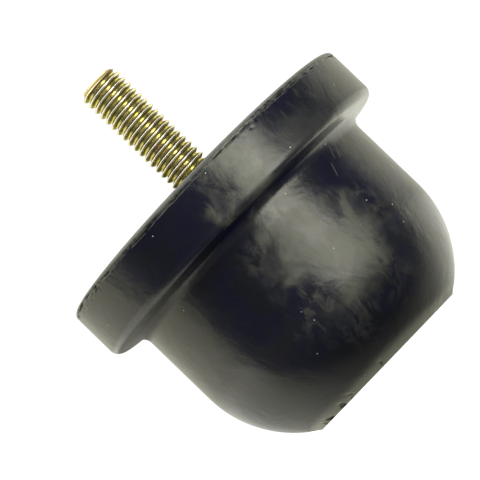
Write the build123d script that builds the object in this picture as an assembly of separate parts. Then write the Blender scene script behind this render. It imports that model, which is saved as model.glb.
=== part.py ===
from build123d import *
import os
from math import cos, radians, tan

# Hood bumper: a moulded rubber buffer with a bolt moulded into its flange.
# Millimetres, +Z up. The origin is the centre of the mounting face. The thread stands up from it and the
# buffer hangs below it, ending in the flat strike face.

# Rubber body
body_height = 52.4
flange_diameter = 75.2
flange_overhang = 7.0
flange_rim_height = 12.0
flange_front_slope_deg = 8.0
mounting_edge_radius = 1.07
front_edge_radius = 2.25
root_fillet_radius = 2.35
shoulder_height = 20.9
strike_face_diameter = 38.2

# Bolt, 3/8 inch thread on a rolled blank
thread_diameter = 9.52
stud_height = 30.5
tip_chamfer = 1.1
runout_height = 0.9
shank_diameter = 8.4
bolt_length = 38.1
head_across_flats = 14.3
head_height = 6.2
head_sides = 6
head_chamfer_deg = 30

# Sizes that follow
flange_radius = flange_diameter / 2
body_radius = flange_radius - flange_overhang
strike_radius = strike_face_diameter / 2
flange_root_z = -flange_rim_height - flange_overhang * tan(radians(flange_front_slope_deg))
shoulder_z = shoulder_height - body_height
thread_radius = thread_diameter / 2
shank_radius = shank_diameter / 2
bearing_z = stud_height - bolt_length
head_end_z = bearing_z - head_height
head_flat_radius = head_across_flats / 2
head_corner_radius = head_flat_radius / cos(radians(180 / head_sides))
head_chamfer_height = (head_corner_radius - head_flat_radius) * tan(radians(head_chamfer_deg))


def turned(section):
    """The solid that a half section in the XZ plane makes when it is turned about Z."""
    return revolve(Plane.XZ * section, Axis.Z)


def rounded(section, corner, radius):
    """The section with the corner at the given point rounded."""
    return fillet(section.vertices().sort_by_distance(corner)[0], radius)


# Buffer without the bolt's hollow
mounting_edge = (flange_radius, 0)
front_edge = (flange_radius, -flange_rim_height)
flange_root = (body_radius, flange_root_z)
flange_line = Polyline((0, 0), mounting_edge, front_edge, flange_root, (body_radius, shoulder_z))
shoulder_line = TangentArc(flange_line @ 1, (strike_radius, -body_height), tangent=flange_line % 1)
strike_line = Polyline(shoulder_line @ 1, (0, -body_height), (0, 0))
body_section = make_face([*flange_line.edges(), *shoulder_line.edges(), *strike_line.edges()])
body_section = rounded(body_section, mounting_edge, mounting_edge_radius)
body_section = rounded(body_section, front_edge, front_edge_radius)
body_section = rounded(body_section, flange_root, root_fillet_radius)
buffer = turned(body_section)

# Bolt, plain at the thread's crests
shank_section = make_face(
    Polyline(
        (0, bearing_z),
        (shank_radius, bearing_z),
        (shank_radius, -runout_height),
        (thread_radius, 0),
        (thread_radius, stud_height - tip_chamfer),
        (thread_radius - tip_chamfer, stud_height),
        (0, stud_height),
        close=True,
    )
)
head_section = make_face(
    Polyline(
        (0, bearing_z),
        (head_corner_radius, bearing_z),
        (head_corner_radius, head_end_z + head_chamfer_height),
        (head_flat_radius, head_end_z),
        (0, head_end_z),
        close=True,
    )
)
hexagon = RegularPolygon(head_flat_radius, head_sides, major_radius=False)
head = extrude(Pos(0, 0, head_end_z) * hexagon, amount=head_height) & turned(head_section)
stud_bolt = turned(shank_section) + head

# Rubber moulded around the shank and the head
rubber_body = buffer - stud_bolt

os.makedirs("parts", exist_ok=True)
export_step(rubber_body, "parts/rubber_body.step")
export_step(stud_bolt, "parts/stud_bolt.step")
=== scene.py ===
# %% [markdown]
# # A hood bumper: moulded rubber on a zinc-plated stud
# A hood bumper is a block of black rubber with a bolt moulded into its flange. The script loads the packed
# model as a fixed frame, then makes a finer rubber body and a finer threaded stud in the same places. Lengths
# are in metres, with +Z along the stud.

# %% Load the frame
import bpy
import bmesh
from math import asin, atan2, cos, exp, hypot, pi, radians, sin, tan
from mathutils import Matrix, Vector, noise


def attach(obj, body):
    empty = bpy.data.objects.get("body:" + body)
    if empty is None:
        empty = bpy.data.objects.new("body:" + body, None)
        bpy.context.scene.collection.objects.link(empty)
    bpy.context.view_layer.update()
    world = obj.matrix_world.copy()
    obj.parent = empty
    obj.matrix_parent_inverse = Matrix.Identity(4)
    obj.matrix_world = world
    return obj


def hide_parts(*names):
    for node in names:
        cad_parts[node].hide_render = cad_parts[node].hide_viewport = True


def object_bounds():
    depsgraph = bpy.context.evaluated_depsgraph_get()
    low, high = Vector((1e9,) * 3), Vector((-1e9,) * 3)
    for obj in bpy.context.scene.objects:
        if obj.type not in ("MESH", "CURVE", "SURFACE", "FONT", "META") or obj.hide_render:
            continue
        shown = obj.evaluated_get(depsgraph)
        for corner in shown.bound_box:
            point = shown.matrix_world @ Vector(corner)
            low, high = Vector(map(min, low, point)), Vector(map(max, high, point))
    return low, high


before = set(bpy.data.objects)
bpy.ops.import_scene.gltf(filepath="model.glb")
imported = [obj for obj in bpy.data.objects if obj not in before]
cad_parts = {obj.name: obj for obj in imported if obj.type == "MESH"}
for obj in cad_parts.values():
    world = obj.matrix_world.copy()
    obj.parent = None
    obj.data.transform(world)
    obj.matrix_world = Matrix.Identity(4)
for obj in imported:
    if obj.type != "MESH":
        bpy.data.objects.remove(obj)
cad_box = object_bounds()
MM = 0.001
FLANGE_R = min(cad_box[1][:2])
STUD_TOP = cad_box[1][2]
NOSE_Z = cad_box[0][2]
print("nodes:", sorted(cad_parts), "box:", cad_box)

# %% [markdown]
# ## The camera
# The photo shows the bumper from the side, rolled so that the stud points to the upper left. The outline of a
# turned body fixes the camera: its roll is the angle of the axis in the picture, and the thin ellipse of the
# flange gives the small tilt. The picture values below are in pixels of a 480 by 480 frame, and the flange's
# radius turns pixels into metres. A long lens keeps the perspective weak, as in the photo.

# %% Set the camera
AXIS_ANGLE = radians(43.89)      # direction of the nose in the picture, below the horizontal
AXIS_TILT = radians(3.73)        # how far the nose leans towards the camera
FACE_CENTRE = (202.66, 184.46)   # the mounting face's centre in the picture
CAMERA_PIXELS = 2800.0           # distance to the mounting face
FLANGE_PIXELS = 183.34
PICTURE = 480
METRES_PER_PIXEL = FLANGE_R / FLANGE_PIXELS

nose_flat = Vector((cos(AXIS_ANGLE), -sin(AXIS_ANGLE), 0))
towards_viewer = Vector((0, 0, 1))
nose = nose_flat * cos(AXIS_TILT) + towards_viewer * sin(AXIS_TILT)
across = Vector((sin(AXIS_ANGLE), cos(AXIS_ANGLE), 0))
world_axes = (across, (-nose).cross(across), -nose)
to_camera = Vector((PICTURE / 2 - FACE_CENTRE[0], FACE_CENTRE[1] - PICTURE / 2, CAMERA_PIXELS))
camera_data = bpy.data.cameras.new("camera")
camera_data.sensor_width = 36
camera_data.lens = camera_data.sensor_width * CAMERA_PIXELS / PICTURE
camera_data.clip_start = 0.01
camera = bpy.data.objects.new("camera", camera_data)
turn = Matrix([[axis[i] for i in range(3)] for axis in world_axes])
camera.matrix_world = Matrix.Translation(turn @ to_camera * METRES_PER_PIXEL) @ turn.to_4x4()
bpy.context.collection.objects.link(camera)
bpy.context.scene.camera = camera
print("camera at", [round(c, 4) for c in camera.matrix_world.translation], "lens", camera_data.lens)

# %% [markdown]
# ## The surroundings
# Black rubber shows almost nothing but reflections, so the surroundings draw its form. In the photo the
# silhouette's edges are pale, which means that everything behind the bumper was white. The middle is dark, so
# the viewer's side was dim apart from a soft light. Cards round the bumper could do this, but a world that is
# white behind and dim in front needs only a step between two values. The camera itself sees white all round.

# %% Node helpers
def shader_tree(owner):
    """The owner's empty node tree."""
    owner.use_nodes = True
    tree = owner.node_tree
    tree.nodes.clear()
    return tree


def node(tree, kind, inputs=None, **settings):
    """A new shader node with its settings, and its inputs set to values or linked to sockets."""
    made = tree.nodes.new("ShaderNode" + kind)
    for key, value in settings.items():
        setattr(made, key, value)
    for key, value in (inputs or {}).items():
        if isinstance(value, bpy.types.NodeSocket):
            tree.links.new(value, made.inputs[key])
        else:
            made.inputs[key].default_value = value
    return made


def calc(tree, operation, *values):
    """The result of one Math node."""
    return node(tree, "Math", dict(enumerate(values)), operation=operation).outputs[0]


def most(tree, first, *others):
    """The largest of several values."""
    for other in others:
        first = calc(tree, "MAXIMUM", first, other)
    return first


def product(tree, first, *others):
    """Several values multiplied, such as masks that all have to be 1."""
    for other in others:
        first = calc(tree, "MULTIPLY", first, other)
    return first


def vector_calc(tree, operation, *values):
    """The result of one Vector Math node."""
    made = node(tree, "VectorMath", dict(enumerate(values)), operation=operation)
    return made.outputs["Value" if operation in ("LENGTH", "DOT_PRODUCT") else "Vector"]


def ramp(tree, value, low, high, to_low=0.0, to_high=1.0):
    """A smooth step from one value to another."""
    inputs = {0: value, 1: low, 2: high, 3: to_low, 4: to_high}
    return node(tree, "MapRange", inputs, interpolation_type="SMOOTHSTEP").outputs[0]


def blend(tree, share, first, second):
    """A colour between two colours."""
    return node(tree, "Mix", {0: share, 6: first, 7: second}, data_type="RGBA").outputs[2]


# %% Helpers for the background
DIM_TURN = radians(12)    # the middle of the dim side, to the right of the camera


def backwards(tree, where):
    """How far a place or a direction lies away from the middle of the dim side."""
    return vector_calc(tree, "DOT_PRODUCT", where, (-sin(DIM_TURN), cos(DIM_TURN), 0))


def seen_directly(tree):
    """1 for rays that look straight at the background: the camera's and those through glass."""
    path = node(tree, "LightPath").outputs
    return most(tree, path["Is Camera Ray"], path["Is Transmission Ray"])


def shows_white(tree, behind):
    """1 for rays that show the white background: those that look straight at it, and gloss looking behind."""
    mirrored = product(tree, node(tree, "LightPath").outputs["Is Glossy Ray"], behind)
    return most(tree, seen_directly(tree), mirrored)


# %% World
FRONT_LIGHT, BACK_LIGHT, FILL_LIGHT = 0.066, 1.06, 0.4
DIM_UNTIL, WHITE_FROM = -0.24, 0.38    # how far back a direction points where the white begins and is full
WHITE = (1, 1, 1, 1)
CREAM = (1.0, 1.0, 0.82, 1)
world = bpy.data.worlds.new("studio")
bpy.context.scene.world = world
tree = shader_tree(world)
behind = ramp(tree, backwards(tree, node(tree, "TexCoord").outputs["Generated"]), DIM_UNTIL, WHITE_FROM)
white_share = shows_white(tree, behind)
diffuse_share = node(tree, "LightPath").outputs["Is Diffuse Ray"]
front = ramp(tree, diffuse_share, 0, 1, FRONT_LIGHT, FILL_LIGHT)
back = product(tree, behind, BACK_LIGHT)
strength = most(tree, white_share, back, front)
in_front = calc(tree, "SUBTRACT", 1, behind)
sky = blend(tree, most(tree, seen_directly(tree), in_front), CREAM, WHITE)
background = node(tree, "Background", {"Color": sky, "Strength": strength})
tree.links.new(background.outputs[0], node(tree, "OutputWorld").inputs[0])
print("world nodes:", len(tree.nodes))

# %% [markdown]
# ## The floor
# The bumper stands on white paper, and the rubber mirrors the paper from below. Plain white paper would light
# the whole lower half, which is dark in the photo. So the paper's shader asks what kind of ray arrives. The
# camera sees white, and reflections see a floor that is dim in front of a line, bright behind it, and bright
# in a narrow ring where the rubber touches it.

# %% Floor sheet
FLOOR_RADIUS = 2.0
FLOOR_SIDES = 96
bm = bmesh.new()
lowered = Matrix.Translation((0, 0, NOSE_Z))
bmesh.ops.create_circle(bm, cap_ends=True, radius=FLOOR_RADIUS, segments=FLOOR_SIDES, matrix=lowered)
mesh = bpy.data.meshes.new("floor")
bm.to_mesh(mesh)
bm.free()
floor_piece = bpy.data.objects.new("floor", mesh)
bpy.context.collection.objects.link(floor_piece)
print("floor at", round(NOSE_Z / MM, 2), "mm")


# %% Floor paper
# A step is given by its low end, its high end and the values there, which are 0 and 1 where none are given.
DIM_EDGE = -16.5 * MM     # reflections show a dim floor in front of this line
DIM_FADE = 12 * MM        # half the width of the change at the line
STRIKE_R = 19.1 * MM      # of the flat end that stands on the floor
FOOT_RING = (STRIKE_R, STRIKE_R + 4.5 * MM, 1, 0)
SEEN_GLOW = (0.08, 0.30, 0.5, 1.0)       # outwards, as the camera sees it
NEAR_GLOW = (-0.05, 0.05, 0.28, 0.85)    # left to right, as the rubber mirrors it close by
FAR_GLOW = (-0.05, 0.05, 0.5, 0.7)       # left to right, as the rubber mirrors it further off
NEAR_END, FAR_START = 0.06, 0.2
FOOT_GLOW = 1.1
DIM_PAPER, LIT_PAPER, WHITE_PAPER = (0.10, 0.10, 0.10, 1), (0.5, 0.5, 0.5, 1), (0.6, 0.6, 0.6, 1)


def off_axis(tree, where):
    """How far a place lies from the stud's axis."""
    return vector_calc(tree, "LENGTH", vector_calc(tree, "MULTIPLY", where, (1, 1, 0)))


paper = bpy.data.materials.new("floor_paper")
tree = shader_tree(paper)
place = node(tree, "TexCoord").outputs["Object"]
from_axis = off_axis(tree, place)
at_foot = ramp(tree, from_axis, *FOOT_RING)
behind = ramp(tree, backwards(tree, place), DIM_EDGE - DIM_FADE, DIM_EDGE + DIM_FADE)
dull = node(tree, "BsdfDiffuse", {"Color": blend(tree, behind, DIM_PAPER, LIT_PAPER)})
behind = most(tree, behind, at_foot)
seen_glow = ramp(tree, from_axis, *SEEN_GLOW)
sideways = node(tree, "SeparateXYZ", {0: place}).outputs["X"]
near_glow = ramp(tree, sideways, *NEAR_GLOW)
far_glow = ramp(tree, sideways, *FAR_GLOW)
around = ramp(tree, from_axis, NEAR_END, FAR_START, near_glow, far_glow)
mirrored_glow = ramp(tree, at_foot, 0, 1, around, FOOT_GLOW)
direct = seen_directly(tree)
glow = ramp(tree, direct, 0, 1, mirrored_glow, seen_glow)
paper_white = node(tree, "BsdfDiffuse", {"Color": WHITE_PAPER})
paper_glow = node(tree, "Emission", {"Color": blend(tree, direct, CREAM, WHITE), "Strength": glow})
bright = node(tree, "AddShader", {0: paper_white.outputs[0], 1: paper_glow.outputs[0]})
shown = node(tree, "MixShader", {0: shows_white(tree, behind), 1: dull.outputs[0], 2: bright.outputs[0]})
tree.links.new(shown.outputs[0], node(tree, "OutputMaterial").inputs[0])
mesh.materials.append(paper)
print("paper nodes:", len(tree.nodes))

# %% [markdown]
# ## The lamps
# A soft light to the right of the camera shows as a pale slanting streak on the rubber, and a broad one
# overhead lights the rest. Area lamps make both. The key light leans away from the bumper and stands on a
# narrower strip, because a wide foot would show as a bright line in the fillet under the flange.


# %% Lamps
def soft_box(name, foot, head, width, radiance):
    """An area lamp that spans from one place to another and shines down and back towards the bumper."""
    length = (head - foot).length
    lamp = bpy.data.lights.new(name, "AREA")
    lamp.shape = "RECTANGLE"
    lamp.size = width
    lamp.size_y = length
    lamp.energy = radiance * pi * width * length
    up = (head - foot).normalized()
    side = Vector((-foot.y, foot.x, 0)).normalized()
    facing = Matrix((side, up, side.cross(up))).transposed().to_4x4()
    box = bpy.data.objects.new(name, lamp)
    box.matrix_world = Matrix.Translation((foot + head) / 2) @ facing
    box.visible_camera = False
    bpy.context.collection.objects.link(box)
    print(name, "shines along", [round(c, 2) for c in -side.cross(up)])


KEY_TURN = radians(29)
KEY_WIDTH, STRIP_WIDTH, OVERHEAD_WIDTH = 0.09, 0.04, 1.6
KEY_RADIANCE, OVERHEAD_RADIANCE = 4.3, 1.7
STRIP_AWAY, KEY_AWAY, KEY_HEAD_AWAY = 0.08, 0.125, 0.5    # from the stud's axis, along the floor
KEY_UP, KEY_HEAD_UP = 0.012, 0.25                         # above the floor
OVERHEAD_NEAR, OVERHEAD_FAR = Vector((0, -1.5, 0.8)), Vector((0, 0.5, 0.8))
key_way = Vector((sin(KEY_TURN), -cos(KEY_TURN), 0))
on_floor = Vector((0, 0, NOSE_Z + MM))
key_foot = key_way * KEY_AWAY + on_floor + Vector((0, 0, KEY_UP))
key_head = key_way * KEY_HEAD_AWAY + on_floor + Vector((0, 0, KEY_HEAD_UP))
soft_box("key", key_foot, key_head, KEY_WIDTH, KEY_RADIANCE)
soft_box("key_foot", key_way * STRIP_AWAY + on_floor, key_foot, STRIP_WIDTH, KEY_RADIANCE)
soft_box("overhead", OVERHEAD_NEAR, OVERHEAD_FAR, OVERHEAD_WIDTH, OVERHEAD_RADIANCE)

# %% [markdown]
# ## The rubber body
# The body came out of a turned mould, so it is a lathe shape: a half section spun about the stud's axis. The
# section starts as its corner points. Bevelling a corner point rounds it, as the mould's own cutters did, and
# the nose's shoulder is a point spun about the centre of its arc. The section runs on into the pocket where
# the bolt's head sits, so the mesh has the same form inside as the solid that it replaces.

# %% Sizes of the rubber and the bolt
FLANGE_OVERHANG = 7.0 * MM
BODY_R = FLANGE_R - FLANGE_OVERHANG
RIM_Z = -12.0 * MM
FRONT_SLOPE = radians(8)
ROOT_Z = RIM_Z - FLANGE_OVERHANG * tan(FRONT_SLOPE)
BACK_ROUND, FRONT_ROUND, ROOT_ROUND, FACE_ROUND = 1.07 * MM, 1.9 * MM, 2.35 * MM, 0.25 * MM
SHOULDER_HEIGHT = 20.9 * MM
SHOULDER_Z = NOSE_Z + SHOULDER_HEIGHT
SHOULDER_R = (SHOULDER_HEIGHT ** 2 + (BODY_R - STRIKE_R) ** 2) / (2 * (BODY_R - STRIKE_R))
THREAD_R, SHANK_R = 4.76 * MM, 4.2 * MM
RUNOUT_Z = -0.9 * MM
BOLT_LENGTH = 38.1 * MM
BEARING_Z = STUD_TOP - BOLT_LENGTH
HEAD_HEIGHT = 6.2 * MM
HEAD_END_Z = BEARING_Z - HEAD_HEIGHT
HEAD_FLAT_R = 7.15 * MM
HALF_SIDE = pi / 6                   # half the angle of one of the hexagon head's sides
HEAD_CORNER_R = HEAD_FLAT_R / cos(HALF_SIDE)
HEAD_CHAMFER_SLOPE = radians(30)
HEAD_CHAMFER = (HEAD_CORNER_R - HEAD_FLAT_R) * tan(HEAD_CHAMFER_SLOPE)
print("barrel radius", round(BODY_R / MM, 2), "shoulder arc", round(SHOULDER_R / MM, 2), "mm")


# %% Section helpers
def section(points):
    """A bmesh with a wire through the given (radius, height) points."""
    bm = bmesh.new()
    verts = [bm.verts.new((r, 0, z)) for r, z in points]
    for a, b in zip(verts[:-1], verts[1:]):
        bm.edges.new((a, b))
    return bm


def corner_at(bm, r, z):
    """The wire's point nearest to a place."""
    return min(bm.verts, key=lambda v: hypot(v.co.x - r, v.co.z - z))


def round_corners(bm, corners, offset, segments):
    """Rounds some of the wire's corners, starting the curves at an offset from them."""
    bmesh.ops.bevel(bm, geom=corners, offset=offset, segments=segments, profile=0.5, affect="VERTICES",
                    material=-1)


# %% Section of the rubber
ROUND_STEPS, FACE_STEPS, SHOULDER_STEPS = 8, 4, 28
POCKET = [(0, HEAD_END_Z), (HEAD_FLAT_R, HEAD_END_Z), (HEAD_CORNER_R, HEAD_END_Z + HEAD_CHAMFER),
          (HEAD_CORNER_R, BEARING_Z), (SHANK_R, BEARING_Z), (SHANK_R, RUNOUT_Z), (THREAD_R, 0)]
OUTSIDE = [(FLANGE_R, 0), (FLANGE_R, RIM_Z), (BODY_R, ROOT_Z), (BODY_R, SHOULDER_Z)]
bm = section(POCKET + OUTSIDE)
half_turn = tan((pi / 2 - FRONT_SLOPE) / 2)
round_corners(bm, [corner_at(bm, FLANGE_R, 0)], BACK_ROUND, ROUND_STEPS)
round_corners(bm, [corner_at(bm, FLANGE_R, RIM_Z)], FRONT_ROUND * half_turn, ROUND_STEPS)
round_corners(bm, [corner_at(bm, BODY_R, ROOT_Z)], ROOT_ROUND * half_turn, ROUND_STEPS)
sweep = asin(SHOULDER_HEIGHT / SHOULDER_R)
arc_centre = (BODY_R - SHOULDER_R, 0, SHOULDER_Z)
arc = bmesh.ops.spin(bm, geom=[corner_at(bm, BODY_R, SHOULDER_Z)], cent=arc_centre, axis=(0, 1, 0),
                     angle=sweep, steps=SHOULDER_STEPS)
face_edge = [v for v in arc["geom_last"] if isinstance(v, bmesh.types.BMVert)][0]
bm.edges.new((face_edge, bm.verts.new((0, 0, NOSE_Z))))
print("section ends at", [round(c / MM, 2) for c in face_edge.co], "points", len(bm.verts))
round_corners(bm, [corner_at(bm, STRIKE_R, NOSE_Z)], FACE_ROUND, FACE_STEPS)

# %% [markdown]
# ## Turning the section
# Before the section is spun, its long edges are divided where the surface is worked later: coarsely on the
# rim and the barrel, finely beside the two edges that get torn and nicked. A subdivision modifier would
# divide everything alike. The pocket is round after the spin, so its points are pulled in to the flats of the
# bolt's hexagon head.

# %% Turn the section into the body
TURN_STEPS = 640
MERGE = MM / 1000
SLACK = MM / 10
TORN_FROM_Z = -3 * BACK_ROUND
FINE_TO_Z = NOSE_Z + 8 * FACE_ROUND
RIM_STEP, BARREL_STEP, TORN_STEP, NICKED_STEP = 0.6 * MM, 1.2 * MM, 0.13 * MM, 0.3 * MM


def split_long(bm, low_z, high_z, step):
    """Divides the wire's longer edges between two heights, so that the surface can be worked there."""
    for edge in list(bm.edges):
        z = (edge.verts[0].co.z + edge.verts[1].co.z) / 2
        cuts = int(edge.calc_length() / step)
        if low_z <= z <= high_z and cuts > 0:
            bmesh.ops.subdivide_edges(bm, edges=[edge], cuts=cuts)


def turn_wire(bm, steps):
    """Spins the wire round the stud's axis into a closed shell whose faces point outwards."""
    wire = bm.verts[:] + bm.edges[:]
    bmesh.ops.spin(bm, geom=wire, cent=(0, 0, 0), axis=(0, 0, 1), angle=2 * pi, steps=steps, use_merge=True)
    bmesh.ops.remove_doubles(bm, verts=bm.verts, dist=MERGE)
    bmesh.ops.recalc_face_normals(bm, faces=bm.faces)


def hexagon_reach(x, y):
    """How far from the axis the bolt's hexagon reaches in the direction of a point."""
    turn_in_side = (atan2(y, x) + HALF_SIDE) % (2 * HALF_SIDE) - HALF_SIDE
    return HEAD_FLAT_R / cos(turn_in_side)


split_long(bm, RIM_Z + FRONT_ROUND, -BACK_ROUND, RIM_STEP)
split_long(bm, SHOULDER_Z, ROOT_Z - ROOT_ROUND, BARREL_STEP)
split_long(bm, TORN_FROM_Z, -BACK_ROUND, TORN_STEP)
split_long(bm, NOSE_Z + FACE_ROUND, FINE_TO_Z, NICKED_STEP)
turn_wire(bm, TURN_STEPS)
for v in bm.verts:
    r = hypot(v.co.x, v.co.y)
    if HEAD_END_Z - SLACK < v.co.z < BEARING_Z + SLACK and HEAD_FLAT_R < r < HEAD_CORNER_R + SLACK:
        pull = min(1.0, hexagon_reach(v.co.x, v.co.y) / r)
        v.co.x *= pull
        v.co.y *= pull
print("rubber faces:", len(bm.faces))

# %% [markdown]
# ## The trimmed flash
# Where the two halves of a mould meet, rubber squeezes out as a thin skin, the flash. It is cut off by hand,
# which leaves a ragged line along the flange's back edge: short torn notches with a smooth rounded strip
# above them. Noise along the rim moves the vertices there inwards, so the torn line is real geometry and its
# shadow follows the light. Three stretches are torn more than the rest, and at the first of them the line
# climbs towards the back. The edge of the strike face is nicked in the same way where it has been knocked.

# %% Places of the damage
# Each place is an angle about the stud, a spread and an amount.
TORN_PLACES = ((radians(-150), radians(17), 1.0), (radians(-60), radians(24), 0.6),
               (radians(-8), radians(11), 0.9))
NICKED_PLACES = ((radians(-122), radians(9), 1.0), (radians(-94), radians(6), 0.7),
                 (radians(-149), radians(8), 0.8), (radians(35), radians(10), 0.7),
                 (radians(150), radians(6), 0.9))


def share_near(angle, places):
    """How close an angle is to one of the places, from 0 to 1 times the place's amount."""
    share = 0.0
    for centre, spread, amount in places:
        away = (angle - centre + pi) % (2 * pi) - pi
        share = max(share, amount * exp(-(away / spread) ** 2))
    return share


print("damage:", len(TORN_PLACES), "torn places,", len(NICKED_PLACES), "nicked places")

# %% Tear the flash line and nick the strike face
FLASH_Z = -1.35 * MM
FLASH_HALF = 0.13 * MM
FLASH_CLIMB = 0.7 * MM
FLASH_DEPTH, PIT_DEPTH, NICK_DEPTH = 0.42 * MM, 0.85 * MM, 1.6 * MM
SLOW_WANDER, FAST_WANDER = 0.10 * MM, 0.05 * MM
SLOW_SCALE, FAST_SCALE, DASH_SCALE, PIT_SCALE, NICK_SCALE = 90, 700, 330, 1300, 700    # of noise, per metre
DASH_SHIFT = Vector((7, 0, 0))
DASH_BASE, DASH_NOISE, DASH_TORN = 0.35, 0.9, 0.15
PIT_LEVEL, NICK_LEVEL = 0.08, 0.02    # noise below these leaves the rubber whole
PIT_SPREAD = 4                        # the pits' half width over the line's
TORN_FROM_R = FLANGE_R - 0.8 * BACK_ROUND    # the flat mounting face isn't torn
NICKED_FROM_Z = NOSE_Z + MM / 50             # the flat strike face isn't nicked
NICKED_TO_Z = NOSE_Z + 10 * FACE_ROUND


def flash_depth(angle, z):
    """How deep the rim is torn at a point."""
    along = Vector((cos(angle), sin(angle), 0)) * FLANGE_R
    torn = share_near(angle, TORN_PLACES)
    line = FLASH_Z + SLOW_WANDER * noise.noise(along * SLOW_SCALE)
    line += FAST_WANDER * noise.noise(along * FAST_SCALE)
    line += FLASH_CLIMB * share_near(angle, TORN_PLACES[:1])
    width = FLASH_HALF * (1 + torn)
    dash = max(0.0, DASH_BASE + DASH_NOISE * noise.noise(along * DASH_SCALE + DASH_SHIFT) + DASH_TORN * torn)
    pit = max(0.0, noise.noise((along + Vector((0, 0, z))) * PIT_SCALE) - PIT_LEVEL) * torn
    notch = exp(-((z - line) / width) ** 2)
    pitted = exp(-((z - line) / (PIT_SPREAD * width)) ** 2)
    return FLASH_DEPTH * dash * notch + PIT_DEPTH * pit * pitted


def nick_depth(angle, z):
    """How deep the strike face's edge is nicked at a point."""
    along = Vector((cos(angle), sin(angle), 0)) * STRIKE_R + Vector((0, 0, z))
    cut = max(0.0, noise.noise(along * NICK_SCALE) - NICK_LEVEL) * share_near(angle, NICKED_PLACES)
    return NICK_DEPTH * cut * exp(-((z - NOSE_Z) / MM) ** 2)


torn = bm.verts.layers.float.new("torn")
for v in bm.verts:
    r = hypot(v.co.x, v.co.y)
    depth = 0.0
    v.co.z = max(v.co.z, NOSE_Z)
    if r > TORN_FROM_R and v.co.z > TORN_FROM_Z:
        depth = flash_depth(atan2(v.co.y, v.co.x), v.co.z)
    elif NICKED_FROM_Z < v.co.z < NICKED_TO_Z:
        depth = nick_depth(atan2(v.co.y, v.co.x), v.co.z)
    if depth:
        v.co.x -= v.co.x * depth / r
        v.co.y -= v.co.y * depth / r
    v[torn] = depth / MM
print("deepest tear:", round(max(v[torn] for v in bm.verts), 3), "mm")

# %% [markdown]
# ## Keeping a piece
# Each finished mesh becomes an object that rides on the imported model's only body and replaces one of its
# nodes. A moulded or rolled surface is smooth, so the shading is smooth too, with sharp edges only where two
# faces meet at a steep angle.


# %% Keep the body as a piece
def keep_piece(bm, name, replaced, sharp_angle):
    """Makes the piece from its bmesh, smooth shaded with sharp edges where faces meet steeply."""
    bmesh.ops.recalc_face_normals(bm, faces=bm.faces)
    print(name, "open edges:", sum(not e.is_manifold for e in bm.edges))
    mesh = bpy.data.meshes.new(name)
    bm.to_mesh(mesh)
    bm.free()
    mesh.shade_smooth()
    mesh.set_sharp_from_angle(angle=sharp_angle)
    piece = bpy.data.objects.new(name, mesh)
    bpy.context.collection.objects.link(piece)
    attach(piece, "root")
    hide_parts(replaced)
    print(name, "triangles:", sum(len(p.vertices) - 2 for p in mesh.polygons))
    return piece


RUBBER_SHARP, STUD_SHARP = radians(40), radians(35)
rubber_piece = keep_piece(bm, "moulded_rubber", "rubber_body", RUBBER_SHARP)

# %% [markdown]
# ## The stud
# The stud has the thread of a 3/8 inch bolt with 16 turns to the inch. A thread is a zigzag section that
# climbs one pitch in one turn, so spinning the section of all the teeth once round the axis, with a lift of
# one pitch, gives the whole thread: the end of each tooth's turn meets the start of the next. The thread is
# rolled, so its crests and grooves are round, and bevelling the zigzag's corners makes them so. The tip is
# chamfered by pulling in what stands outside a cone, which leaves the broken first turn that a real bolt has.

# %% Thread
INCH, TURNS_PER_INCH = 25.4 * MM, 16
PITCH = INCH / TURNS_PER_INCH
CREST_ROUND, GROOVE_ROUND = 0.23 * MM, 0.17 * MM
SHARP_R = THREAD_R + CREST_ROUND     # of the V's crests before they are rounded
SHARP_DEPTH = PITCH * cos(pi / 6)    # of the V before its crests and grooves are rounded
CURVE_REACH = tan(pi / 3)            # a curve in the 60 degree V starts this many radii from its corner
THREAD_STEPS, THREAD_ROUND_STEPS = 128, 6
SPARE_TURNS = 3                      # beyond each end, cut off later
START_TURN = radians(22)
half_turns = 2 * (int(STUD_TOP / PITCH) + 2 * SPARE_TURNS)
bm = section([(SHARP_R - SHARP_DEPTH * (k % 2), PITCH * (k / 2 - SPARE_TURNS)) for k in range(half_turns)])
bends = [v for v in bm.verts if len(v.link_edges) == 2]
crests = [v for v in bends if v.co.x > THREAD_R]
grooves = [v for v in bends if v.co.x < THREAD_R]
round_corners(bm, crests, CREST_ROUND * CURVE_REACH, THREAD_ROUND_STEPS)
round_corners(bm, grooves, GROOVE_ROUND * CURVE_REACH, THREAD_ROUND_STEPS)
bmesh.ops.spin(bm, geom=bm.verts[:] + bm.edges[:], cent=(0, 0, 0), axis=(0, 0, 1), angle=2 * pi,
               steps=THREAD_STEPS, dvec=(0, 0, PITCH / THREAD_STEPS))
bmesh.ops.remove_doubles(bm, verts=bm.verts, dist=MERGE)
bmesh.ops.rotate(bm, verts=bm.verts, cent=(0, 0, 0), matrix=Matrix.Rotation(START_TURN, 3, "Z"))
print("thread faces before trimming:", len(bm.faces))

# %% Trim the thread's ends
TIP_CHAMFER = 1.1 * MM
CUT_SLACK = MM / 10000
for height, outer in ((STUD_TOP, True), (0, False)):
    everything = bm.verts[:] + bm.edges[:] + bm.faces[:]
    bmesh.ops.bisect_plane(bm, geom=everything, dist=CUT_SLACK, plane_co=(0, 0, height),
                           plane_no=(0, 0, 1), clear_outer=outer, clear_inner=not outer)
for v in bm.verts:
    r = hypot(v.co.x, v.co.y)
    limit = THREAD_R - TIP_CHAMFER + (STUD_TOP - v.co.z)
    if r > limit:
        v.co.x *= limit / r
        v.co.y *= limit / r
rims = [e for e in bm.edges if e.is_boundary]
top_rim = [e for e in rims if e.verts[0].co.z > STUD_TOP / 2]
low_rim = [e for e in rims if e.verts[0].co.z <= STUD_TOP / 2]
bmesh.ops.edgeloop_fill(bm, edges=top_rim)
print("thread faces:", len(bm.faces), "rim edges:", len(top_rim), len(low_rim))

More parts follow.
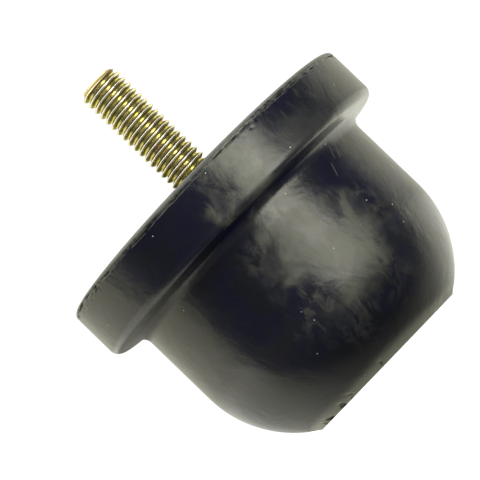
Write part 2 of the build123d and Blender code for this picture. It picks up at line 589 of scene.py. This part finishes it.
# %% [markdown]
# ## The buried shank and head
# Inside the rubber the bolt ends in a hexagon head, which keeps it from turning and from pulling out. A
# cylinder and a prism could be joined to the thread with booleans. Here the thread's lower rim is drawn down
# ring by ring into the run-out, the shank and the head, which keeps the mesh in one closed piece.


# %% Buried shank and head
def draw_down(bm, rim, reach, z):
    """Extends a rim of edges to a ring at a height, with a reach from the axis that can follow the angle."""
    made = bmesh.ops.extrude_edge_only(bm, edges=rim)["geom"]
    ring = {g for g in made if isinstance(g, bmesh.types.BMVert)}
    for v in ring:
        grow = reach(v.co.x, v.co.y) / hypot(v.co.x, v.co.y)
        v.co = (v.co.x * grow, v.co.y * grow, z)
    return [g for g in made if isinstance(g, bmesh.types.BMEdge) and ring.issuperset(g.verts)]


def round_reach(radius):
    """A reach that is the same all round."""
    return lambda x, y: radius


RINGS = ((round_reach(SHANK_R), RUNOUT_Z), (round_reach(SHANK_R), BEARING_Z), (hexagon_reach, BEARING_Z),
         (hexagon_reach, HEAD_END_Z + HEAD_CHAMFER), (round_reach(HEAD_FLAT_R), HEAD_END_Z))
rim = low_rim
for reach, z in RINGS:
    rim = draw_down(bm, rim, reach, z)
bmesh.ops.edgeloop_fill(bm, edges=rim)
stud_piece = keep_piece(bm, "threaded_stud", "stud_bolt", STUD_SHARP)

# %% [markdown]
# ## Black rubber: bloom, painted highlight and wiping
# Moulded rubber is near black with a satin skin. With age, wax and sulphur rise to the surface and leave a
# grey bloom, which handling wipes off in patches, so the skin changes between a dark sheen and a dull grey
# haze. A painted image could show that, but soft blobs in space need no unwrapping: they place the haze and
# the wiped patches, and noise that shifts their edges frays them. Where the two blobs on the barrel and the
# rim face the key light, the grey is painted highlight as well as bloom.

# %% Pattern helpers
BLOB_CORE, BLOB_EDGE = 0.2, 1.3      # in reaches from the blob's centre
SCRATCH_HALF = 0.12 * MM
NOISE_SHIFT = (0.3, 0.1, 0.2)        # to a part of the noise that isn't used otherwise


def mm(*lengths):
    """Lengths in metres, from millimetres."""
    return tuple(length * MM for length in lengths)


def clouds(tree, where, scale, detail, roughness, distortion=0.0):
    """A noise node's outputs, by name."""
    inputs = {"Vector": where, "Scale": scale, "Detail": detail}
    inputs.update({"Roughness": roughness, "Distortion": distortion})
    return node(tree, "TexNoise", inputs).outputs


def clear_of(tree, value, mask):
    """A value, taken away where a mask is 1."""
    return product(tree, value, calc(tree, "SUBTRACT", 1, mask))


def blob(tree, where, centre, reach):
    """1 in the middle of an ellipsoid, falling smoothly to 0 outside it."""
    scaled = vector_calc(tree, "DIVIDE", vector_calc(tree, "SUBTRACT", where, centre), reach)
    return ramp(tree, vector_calc(tree, "LENGTH", scaled), BLOB_CORE, BLOB_EDGE, 1.0, 0.0)


def blobs(tree, where, places):
    """The largest of several blobs."""
    return most(tree, *[blob(tree, where, centre, reach) for centre, reach in places])


def scratch(tree, where, start, end):
    """1 on a fine line between two places."""
    start = Vector(start)
    end = Vector(end)
    from_start = vector_calc(tree, "SUBTRACT", where, start)
    off_line = vector_calc(tree, "CROSS_PRODUCT", from_start, (end - start).normalized())
    from_middle = vector_calc(tree, "LENGTH", vector_calc(tree, "SUBTRACT", where, (start + end) / 2))
    half_length = (end - start).length / 2
    on_line = ramp(tree, vector_calc(tree, "LENGTH", off_line), SCRATCH_HALF / 2, SCRATCH_HALF, 1, 0)
    return product(tree, on_line, ramp(tree, from_middle, half_length / 2, half_length, 1, 0))


# %% Bloom, painted highlight and wiped patches
# Each place is a centre and a reach. Clouds are a scale, a detail, a roughness and a distortion.
# The first two places, on the barrel and on the rim, are painted highlight where the key light's reflection
# falls; the rest are bloom.
BLOOM_AND_HIGHLIGHT_PLACES = ((mm(8, -29, -29), mm(15, 13, 18)), (mm(6.2, -36.5, -5.5), mm(9.5, 9, 11.5)),
               (mm(30, 12, -33), mm(12, 16, 12)), (mm(-8, 32, -26), mm(16, 12, 13)),
               (mm(-24, 30, -6), mm(14, 9, 9)), (mm(0, 16, 0), mm(24, 12, 6)))
CLEAN_PLACES = ((mm(18, -25, -15), mm(10, 9, 7)), (mm(-5, -30, -34), mm(6, 6, 6)))
DRIFT_CLOUDS = (75, 5, 0.62)
DRIFT_MIDDLE, SWAY = (0.5, 0.5, 0.5), (0.03, 0.03, 0.03)
STROKE_CLOUDS, STROKE_STRETCH = (230, 6, 0.64, 2.0), (1, 1, 0.5)
PATCH_CLOUDS = (130, 4, 0.55, 0.6)
WIPED, WIPED_IN_BLOOM = (0.45, 0.60), (0.35, 1.0, 0.95, 0.22)
UNEVEN = (0.38, 0.60, 0.4, 1.1)
rubber = bpy.data.materials.new("black_rubber")
tree = shader_tree(rubber)
place = node(tree, "TexCoord").outputs["Object"]
height = node(tree, "SeparateXYZ", {0: place}).outputs["Z"]
across_front = node(tree, "SeparateXYZ", {0: place}).outputs["X"]
from_axis = off_axis(tree, place)
elsewhere = vector_calc(tree, "ADD", place, NOISE_SHIFT)
drift = vector_calc(tree, "SUBTRACT", clouds(tree, place, *DRIFT_CLOUDS)["Color"], DRIFT_MIDDLE)
swayed = vector_calc(tree, "ADD", place, vector_calc(tree, "MULTIPLY", drift, SWAY))
bloom_and_highlight = blobs(tree, swayed, BLOOM_AND_HIGHLIGHT_PLACES)
stroke = clouds(tree, vector_calc(tree, "MULTIPLY", place, STROKE_STRETCH), *STROKE_CLOUDS)[0]
wiped = product(tree, ramp(tree, stroke, *WIPED), ramp(tree, bloom_and_highlight, *WIPED_IN_BLOOM))
uneven = ramp(tree, clouds(tree, elsewhere, *PATCH_CLOUDS)[0], *UNEVEN)
haze_and_highlight = clear_of(tree, product(tree, bloom_and_highlight, uneven), wiped)
for centre, reach in CLEAN_PLACES:
    haze_and_highlight = clear_of(tree, haze_and_highlight, blob(tree, swayed, centre, reach))
print("bloom in", len(BLOOM_AND_HIGHLIGHT_PLACES), "places, wiped off in", len(CLEAN_PLACES))

# %% [markdown]
# ## Black rubber: painted shade and what touch leaves
# The corner under the flange is kept clear of bloom, so that it stays black: painted shade under the flange,
# apart from one spot that lets a painted highlight show in the fillet. The edge of the strike face is
# scuffed, and its lighter band is also a painted reflection of the floor. Faint traces of rubbing lie round
# the bloom, and the strip above the torn line is dull. Each of these is a mask made of blobs or of smooth
# steps in height, in distance from the axis or across the front, which is easier to move about than a painted
# map.

# %% Corner under the flange
SLANT_FROM, SLANT = 8 * MM, 0.55     # to the right of this, the dark corner's lower edge falls
CORNER_BOTTOM, CORNER_TOP = (ROOT_Z - 5 * MM, ROOT_Z - 1.5 * MM), (RIM_Z + MM, RIM_Z + 3 * MM, 1, 0)
CORNER_OUTSIDE = (FLANGE_R - 3 * MM, FLANGE_R - 1.4 * MM, 1, 0)
CORNER_LEFT, CORNER_RIGHT = mm(-15, -4), (20 * MM, 26 * MM, 1, 0)
# The dark corner is painted shade under the flange, and this spot opens it where the fillet shows a painted
# highlight.
FILLET_HIGHLIGHT_SPOT, FILLET_HIGHLIGHT_REACH = mm(7, -30, -16), mm(6, 6, 4)
slant = product(tree, most(tree, calc(tree, "SUBTRACT", across_front, SLANT_FROM), 0), SLANT)
painted_shade_corner = product(tree, ramp(tree, calc(tree, "ADD", height, slant), *CORNER_BOTTOM),
                    ramp(tree, from_axis, *CORNER_OUTSIDE), ramp(tree, height, *CORNER_TOP),
                    ramp(tree, across_front, *CORNER_LEFT), ramp(tree, across_front, *CORNER_RIGHT))
painted_shade_corner = clear_of(tree, painted_shade_corner, blob(tree, place, FILLET_HIGHLIGHT_SPOT, FILLET_HIGHLIGHT_REACH))
haze_and_highlight = clear_of(tree, haze_and_highlight, painted_shade_corner)
print("dark corner from", round(CORNER_BOTTOM[0] / MM, 1), "to", round(CORNER_TOP[1] / MM, 1), "mm")

# %% Scuffs with a painted reflection, traces and scratches
SCUFF_AND_REFLECTION_HEIGHT, SCUFF_AND_REFLECTION_STROKES = (NOSE_Z + 0.2 * MM, NOSE_Z + 2.2 * MM, 1, 0), (0.35, 0.6, 0.35, 1.0)
TRACE_PLACES = ((mm(13, -26, -25), mm(22, 18, 17)), (mm(-1, -29, -36), mm(12, 9, 9)))
RIM_SPOT, RIM_REACH, RIM_SHARE = mm(26, -25, -7), mm(15, 15, 8), 0.5
FILM_SPOT, FILM_REACH, FILM_SHARE = mm(19, -32, -9), mm(12, 9, 5.5), 0.28
RUB_CLOUDS, RUB_STRETCH, RUBBED = (430, 6, 0.66, 0.6), (1, 1, 0.6), (0.48, 0.68, 0, 0.6)
TRACES_IN_CORNER = (0, 1, 1, 0.2)
STRIP_HEIGHT = (FLASH_Z - 0.1 * MM, FLASH_Z + 0.1 * MM, 0, 0.7)
STRIP_OUT, STRIP_STROKES = (FLANGE_R - 2.5 * MM, FLANGE_R - 1.2 * MM), (0.38, 0.6, 0.2, 1.0)
SCRATCHES = ((mm(24.2, -18.8, -14), mm(22.4, -20.9, -18.2)), (mm(22.8, -20.4, -14.2), mm(21.6, -21.7, -17.4)),
             (mm(20.5, -22.7, -17), mm(19.4, -23.7, -20.5)))
# The lighter band round the strike face's edge is scuffing and also a painted reflection of the floor.
scuff_and_reflection = product(tree, ramp(tree, height, *SCUFF_AND_REFLECTION_HEIGHT), ramp(tree, stroke, *SCUFF_AND_REFLECTION_STROKES))
on_rim = blob(tree, swayed, RIM_SPOT, RIM_REACH)
halo = most(tree, blobs(tree, swayed, TRACE_PLACES), product(tree, on_rim, RIM_SHARE))
rubbing = clouds(tree, vector_calc(tree, "MULTIPLY", elsewhere, RUB_STRETCH), *RUB_CLOUDS)[0]
film = product(tree, blob(tree, swayed, FILM_SPOT, FILM_REACH), FILM_SHARE)
traces = most(tree, product(tree, ramp(tree, rubbing, *RUBBED), halo), film)
traces = product(tree, traces, ramp(tree, painted_shade_corner, *TRACES_IN_CORNER))
strip = product(tree, ramp(tree, height, *STRIP_HEIGHT), ramp(tree, from_axis, *STRIP_OUT),
                ramp(tree, stroke, *STRIP_STROKES))
haze_and_highlight = most(tree, haze_and_highlight, scuff_and_reflection, traces, strip)
for start, end in SCRATCHES:
    haze_and_highlight = most(tree, haze_and_highlight, scratch(tree, place, start, end))
print("scratches:", len(SCRATCHES))

# %% [markdown]
# ## Black rubber: painted highlight, dust, grime and painted shade
# Two spots have a chalky grain on a painted highlight, where the key light's reflection falls. Specks of dust
# lie all over, black grime sits in the tears, and under the flange at the left the black is painted shade.
# The cells of a Voronoi texture place the specks, and about four in ten cells stay empty, so that they look
# scattered. The tears' own depth, kept with the vertices, places their grime.

# %% Colours of the rubber
BARE, OLIVE_BLACK = (0.0016, 0.002, 0.017, 1), (0.003, 0.0038, 0.011, 1)
HAZE_AND_HIGHLIGHT, HIGHLIGHT_CHALK = (0.074, 0.076, 0.059, 1), (0.115, 0.117, 0.10, 1)
DUST, SOOT_AND_SHADE = (0.45, 0.45, 0.42, 1), (0.003, 0.003, 0.003, 1)
OLIVE_CLOUDS, OLIVE_PATCHES = (110, 4, 0.6, 1.0), (0.42, 0.62)
# Both chalky spots are painted highlights, on the rim and in the fillet where the key light's reflection
# falls.
HIGHLIGHT_CHALK_PLACES = ((mm(8, -36.7, -2.8), mm(5.5, 6, 3.2)), (mm(6.8, -30, -16.5), mm(4, 5, 3)))
HIGHLIGHT_CHALK_CLOUDS, HIGHLIGHT_CHALK_GRAINS = (1300, 5, 0.7), (0.35, 0.65, 0.45, 1.0)
SPECK_SCALE, SPECK_SIZE, SPECK_PICK = 300, (0.03, 0.05, 1.0, 0.0), (0.4, 0.45)
GRIMY_TEAR = (0.08, 0.28)            # depth in millimetres
# Under the flange at the left the black is painted shade; only the tears hold real grime.
UNDER_TOP, UNDER_BOTTOM = (RIM_Z - 0.2 * MM, RIM_Z + 0.6 * MM, 1, 0), (ROOT_Z - 2.5 * MM, ROOT_Z - 0.8 * MM)
UNDER_LEFT = (-26 * MM, -12 * MM, 0.9, 0)
highlight_chalk_grain = ramp(tree, clouds(tree, place, *HIGHLIGHT_CHALK_CLOUDS)[0], *HIGHLIGHT_CHALK_GRAINS)
highlight_chalk = product(tree, blobs(tree, swayed, HIGHLIGHT_CHALK_PLACES), highlight_chalk_grain)
cells = node(tree, "TexVoronoi", {"Vector": place, "Scale": SPECK_SCALE}).outputs
pick = node(tree, "SeparateColor", {0: cells["Color"]}).outputs[0]
speck = product(tree, ramp(tree, cells["Distance"], *SPECK_SIZE), ramp(tree, pick, *SPECK_PICK))
in_tears = ramp(tree, node(tree, "Attribute", attribute_name="torn").outputs["Fac"], *GRIMY_TEAR)
shade_under_flange = product(tree, ramp(tree, height, *UNDER_TOP), ramp(tree, height, *UNDER_BOTTOM),
                ramp(tree, across_front, *UNDER_LEFT))
grime_and_shade = most(tree, in_tears, shade_under_flange)
olive = ramp(tree, clouds(tree, place, *OLIVE_CLOUDS)[0], *OLIVE_PATCHES)
skin = blend(tree, most(tree, olive, on_rim), BARE, OLIVE_BLACK)
skin = blend(tree, haze_and_highlight, skin, HAZE_AND_HIGHLIGHT)
skin = blend(tree, highlight_chalk, skin, HIGHLIGHT_CHALK)
skin = blend(tree, speck, skin, DUST)
# Soot in the tears, and painted shade under the flange at the left.
skin = blend(tree, grime_and_shade, skin, SOOT_AND_SHADE)
print("chalk in", len(HIGHLIGHT_CHALK_PLACES), "places")

# %% [markdown]
# ## Black rubber: the skin
# Bare rubber has a sheen, and haze and grime dull it, so the same masks drive the roughness. A moulded
# surface is never quite even: slow waves bend the reflections, and small dents and a fine grain break them
# up. These are too shallow to change the outline, so bump is enough for them.

# %% Rubber shader
SHEEN = (0, 1, 0.25, 0.44)           # roughness from bare to hazed rubber
SMEAR_ROUGH, GRIME_AND_SHADE_ROUGH = 0.06, 0.4
WAVE_CLOUDS, SMEAR_CLOUDS, GRAIN_CLOUDS = (95, 4, 0.55, 0.5), (240, 6, 0.65, 0.8), (2600, 3, 0.6)
smear = clouds(tree, place, *SMEAR_CLOUDS)[0]
wave = clouds(tree, place, *WAVE_CLOUDS)[0]
grain = clouds(tree, place, *GRAIN_CLOUDS)[0]
rough = calc(tree, "ADD", ramp(tree, haze_and_highlight, *SHEEN), product(tree, smear, SMEAR_ROUGH))
rough = calc(tree, "ADD", rough, product(tree, grime_and_shade, GRIME_AND_SHADE_ROUGH))
waved = node(tree, "Bump", {"Strength": 0.62, "Distance": 0.45 * MM, "Height": wave})
dented = node(tree, "Bump", {"Strength": 0.10, "Distance": 0.12 * MM, "Height": smear,
                             "Normal": waved.outputs[0]})
grained = node(tree, "Bump", {"Strength": 0.06, "Distance": 0.04 * MM, "Height": grain,
                              "Normal": dented.outputs[0]})
satin = node(tree, "BsdfPrincipled", {"Base Color": skin, "Roughness": rough, "Specular IOR Level": 0.8,
                                      "Specular Tint": CREAM, "Normal": grained.outputs[0]})
tree.links.new(satin.outputs[0], node(tree, "OutputMaterial").inputs[0])
rubber_piece.data.materials.append(rubber)
print("rubber nodes:", len(tree.nodes))

# %% [markdown]
# ## Yellow zinc
# The bolt is zinc-plated and passivated, which gives a thin iridescent film: mostly straw yellow, with olive
# green and pink where the film is thicker or thinner. The thread's flanks are darkened with painted shade,
# while the crests are rubbed bright. The film's tint comes from noise, and the distance from the stud's axis
# tells the grooves, the flanks and the crests apart.

# %% Tint of the zinc
STRAW, OLIVE = (0.97, 0.88, 0.46, 1), (0.82, 0.76, 0.28, 1)
PINK, BARE_ZINC = (0.88, 0.64, 0.40, 1), (0.94, 0.92, 0.84, 1)
PAINTED_FLANK_SHADE = (0.03, 0.018, 0.004, 1)
FILM_CLOUDS, OLIVE_FILM = (420, 3, 0.5, 0.6), (0.45, 0.65)
BLUSH_CLOUDS, PINK_FILM = (310, 2, 0.5, 0.3), (0.58, 0.72)
PINK_BASE, PINK_TIP = (0.5 * MM, 2.5 * MM, 0.7, 0.0), (STUD_TOP - 1.6 * MM, STUD_TOP - 0.6 * MM, 0.0, 0.7)
GROOVE_R = SHARP_R + GROOVE_ROUND - SHARP_DEPTH
FLANK_IN = (GROOVE_R + 0.08 * MM, GROOVE_R + 0.3 * MM, 0.0, 0.72)
FLANK_OUT = (THREAD_R - 0.28 * MM, THREAD_R - 0.12 * MM, 1, 0)
CREST = (THREAD_R - 0.11 * MM, THREAD_R - 0.04 * MM, 0, 0.85)
zinc = bpy.data.materials.new("yellow_zinc")
tree = shader_tree(zinc)
place = node(tree, "TexCoord").outputs["Object"]
height = node(tree, "SeparateXYZ", {0: place}).outputs["Z"]
from_axis = off_axis(tree, place)
elsewhere = vector_calc(tree, "ADD", place, NOISE_SHIFT)
thick = ramp(tree, clouds(tree, place, *FILM_CLOUDS)[0], *OLIVE_FILM)
blush = ramp(tree, clouds(tree, elsewhere, *BLUSH_CLOUDS)[0], *PINK_FILM)
ends = most(tree, ramp(tree, height, *PINK_BASE), ramp(tree, height, *PINK_TIP))
flank = product(tree, ramp(tree, from_axis, *FLANK_IN), ramp(tree, from_axis, *FLANK_OUT))
tint = blend(tree, thick, STRAW, OLIVE)
tint = blend(tree, most(tree, blush, ends), tint, PINK)
# Painted shade darkens the flanks.
tint = blend(tree, flank, tint, PAINTED_FLANK_SHADE)
tint = blend(tree, ramp(tree, from_axis, *CREST), tint, BARE_ZINC)
print("thread from", round(GROOVE_R / MM, 3), "to", round(THREAD_R / MM, 3), "mm")

# %% Zinc shader
EDGE_TINT = (0.75, 0.72, 0.45, 1)
WEAR_CLOUDS, WEAR_ROUGH = (1400, 4, 0.6), (0.3, 0.7, 0.18, 0.28)
FLANK_ROUGH, END_ROUGH = 0.2, 0.2
wear = clouds(tree, place, *WEAR_CLOUDS)[0]
rough = calc(tree, "ADD", ramp(tree, wear, *WEAR_ROUGH), product(tree, flank, FLANK_ROUGH))
rough = calc(tree, "ADD", rough, product(tree, ends, END_ROUGH))
bump = node(tree, "Bump", {"Strength": 0.08, "Distance": 0.02 * MM, "Height": wear})
metal = node(tree, "BsdfPrincipled", {"Base Color": tint, "Metallic": 0.9, "Roughness": rough,
                                      "Specular Tint": EDGE_TINT, "Normal": bump.outputs[0]})
tree.links.new(metal.outputs[0], node(tree, "OutputMaterial").inputs[0])
stud_piece.data.materials.append(zinc)
print("zinc nodes:", len(tree.nodes))

# %% [markdown]
# ## Finish
# The picture is shown with plain colours.

# %% Finish
bpy.context.scene.view_settings.view_transform = "Standard"
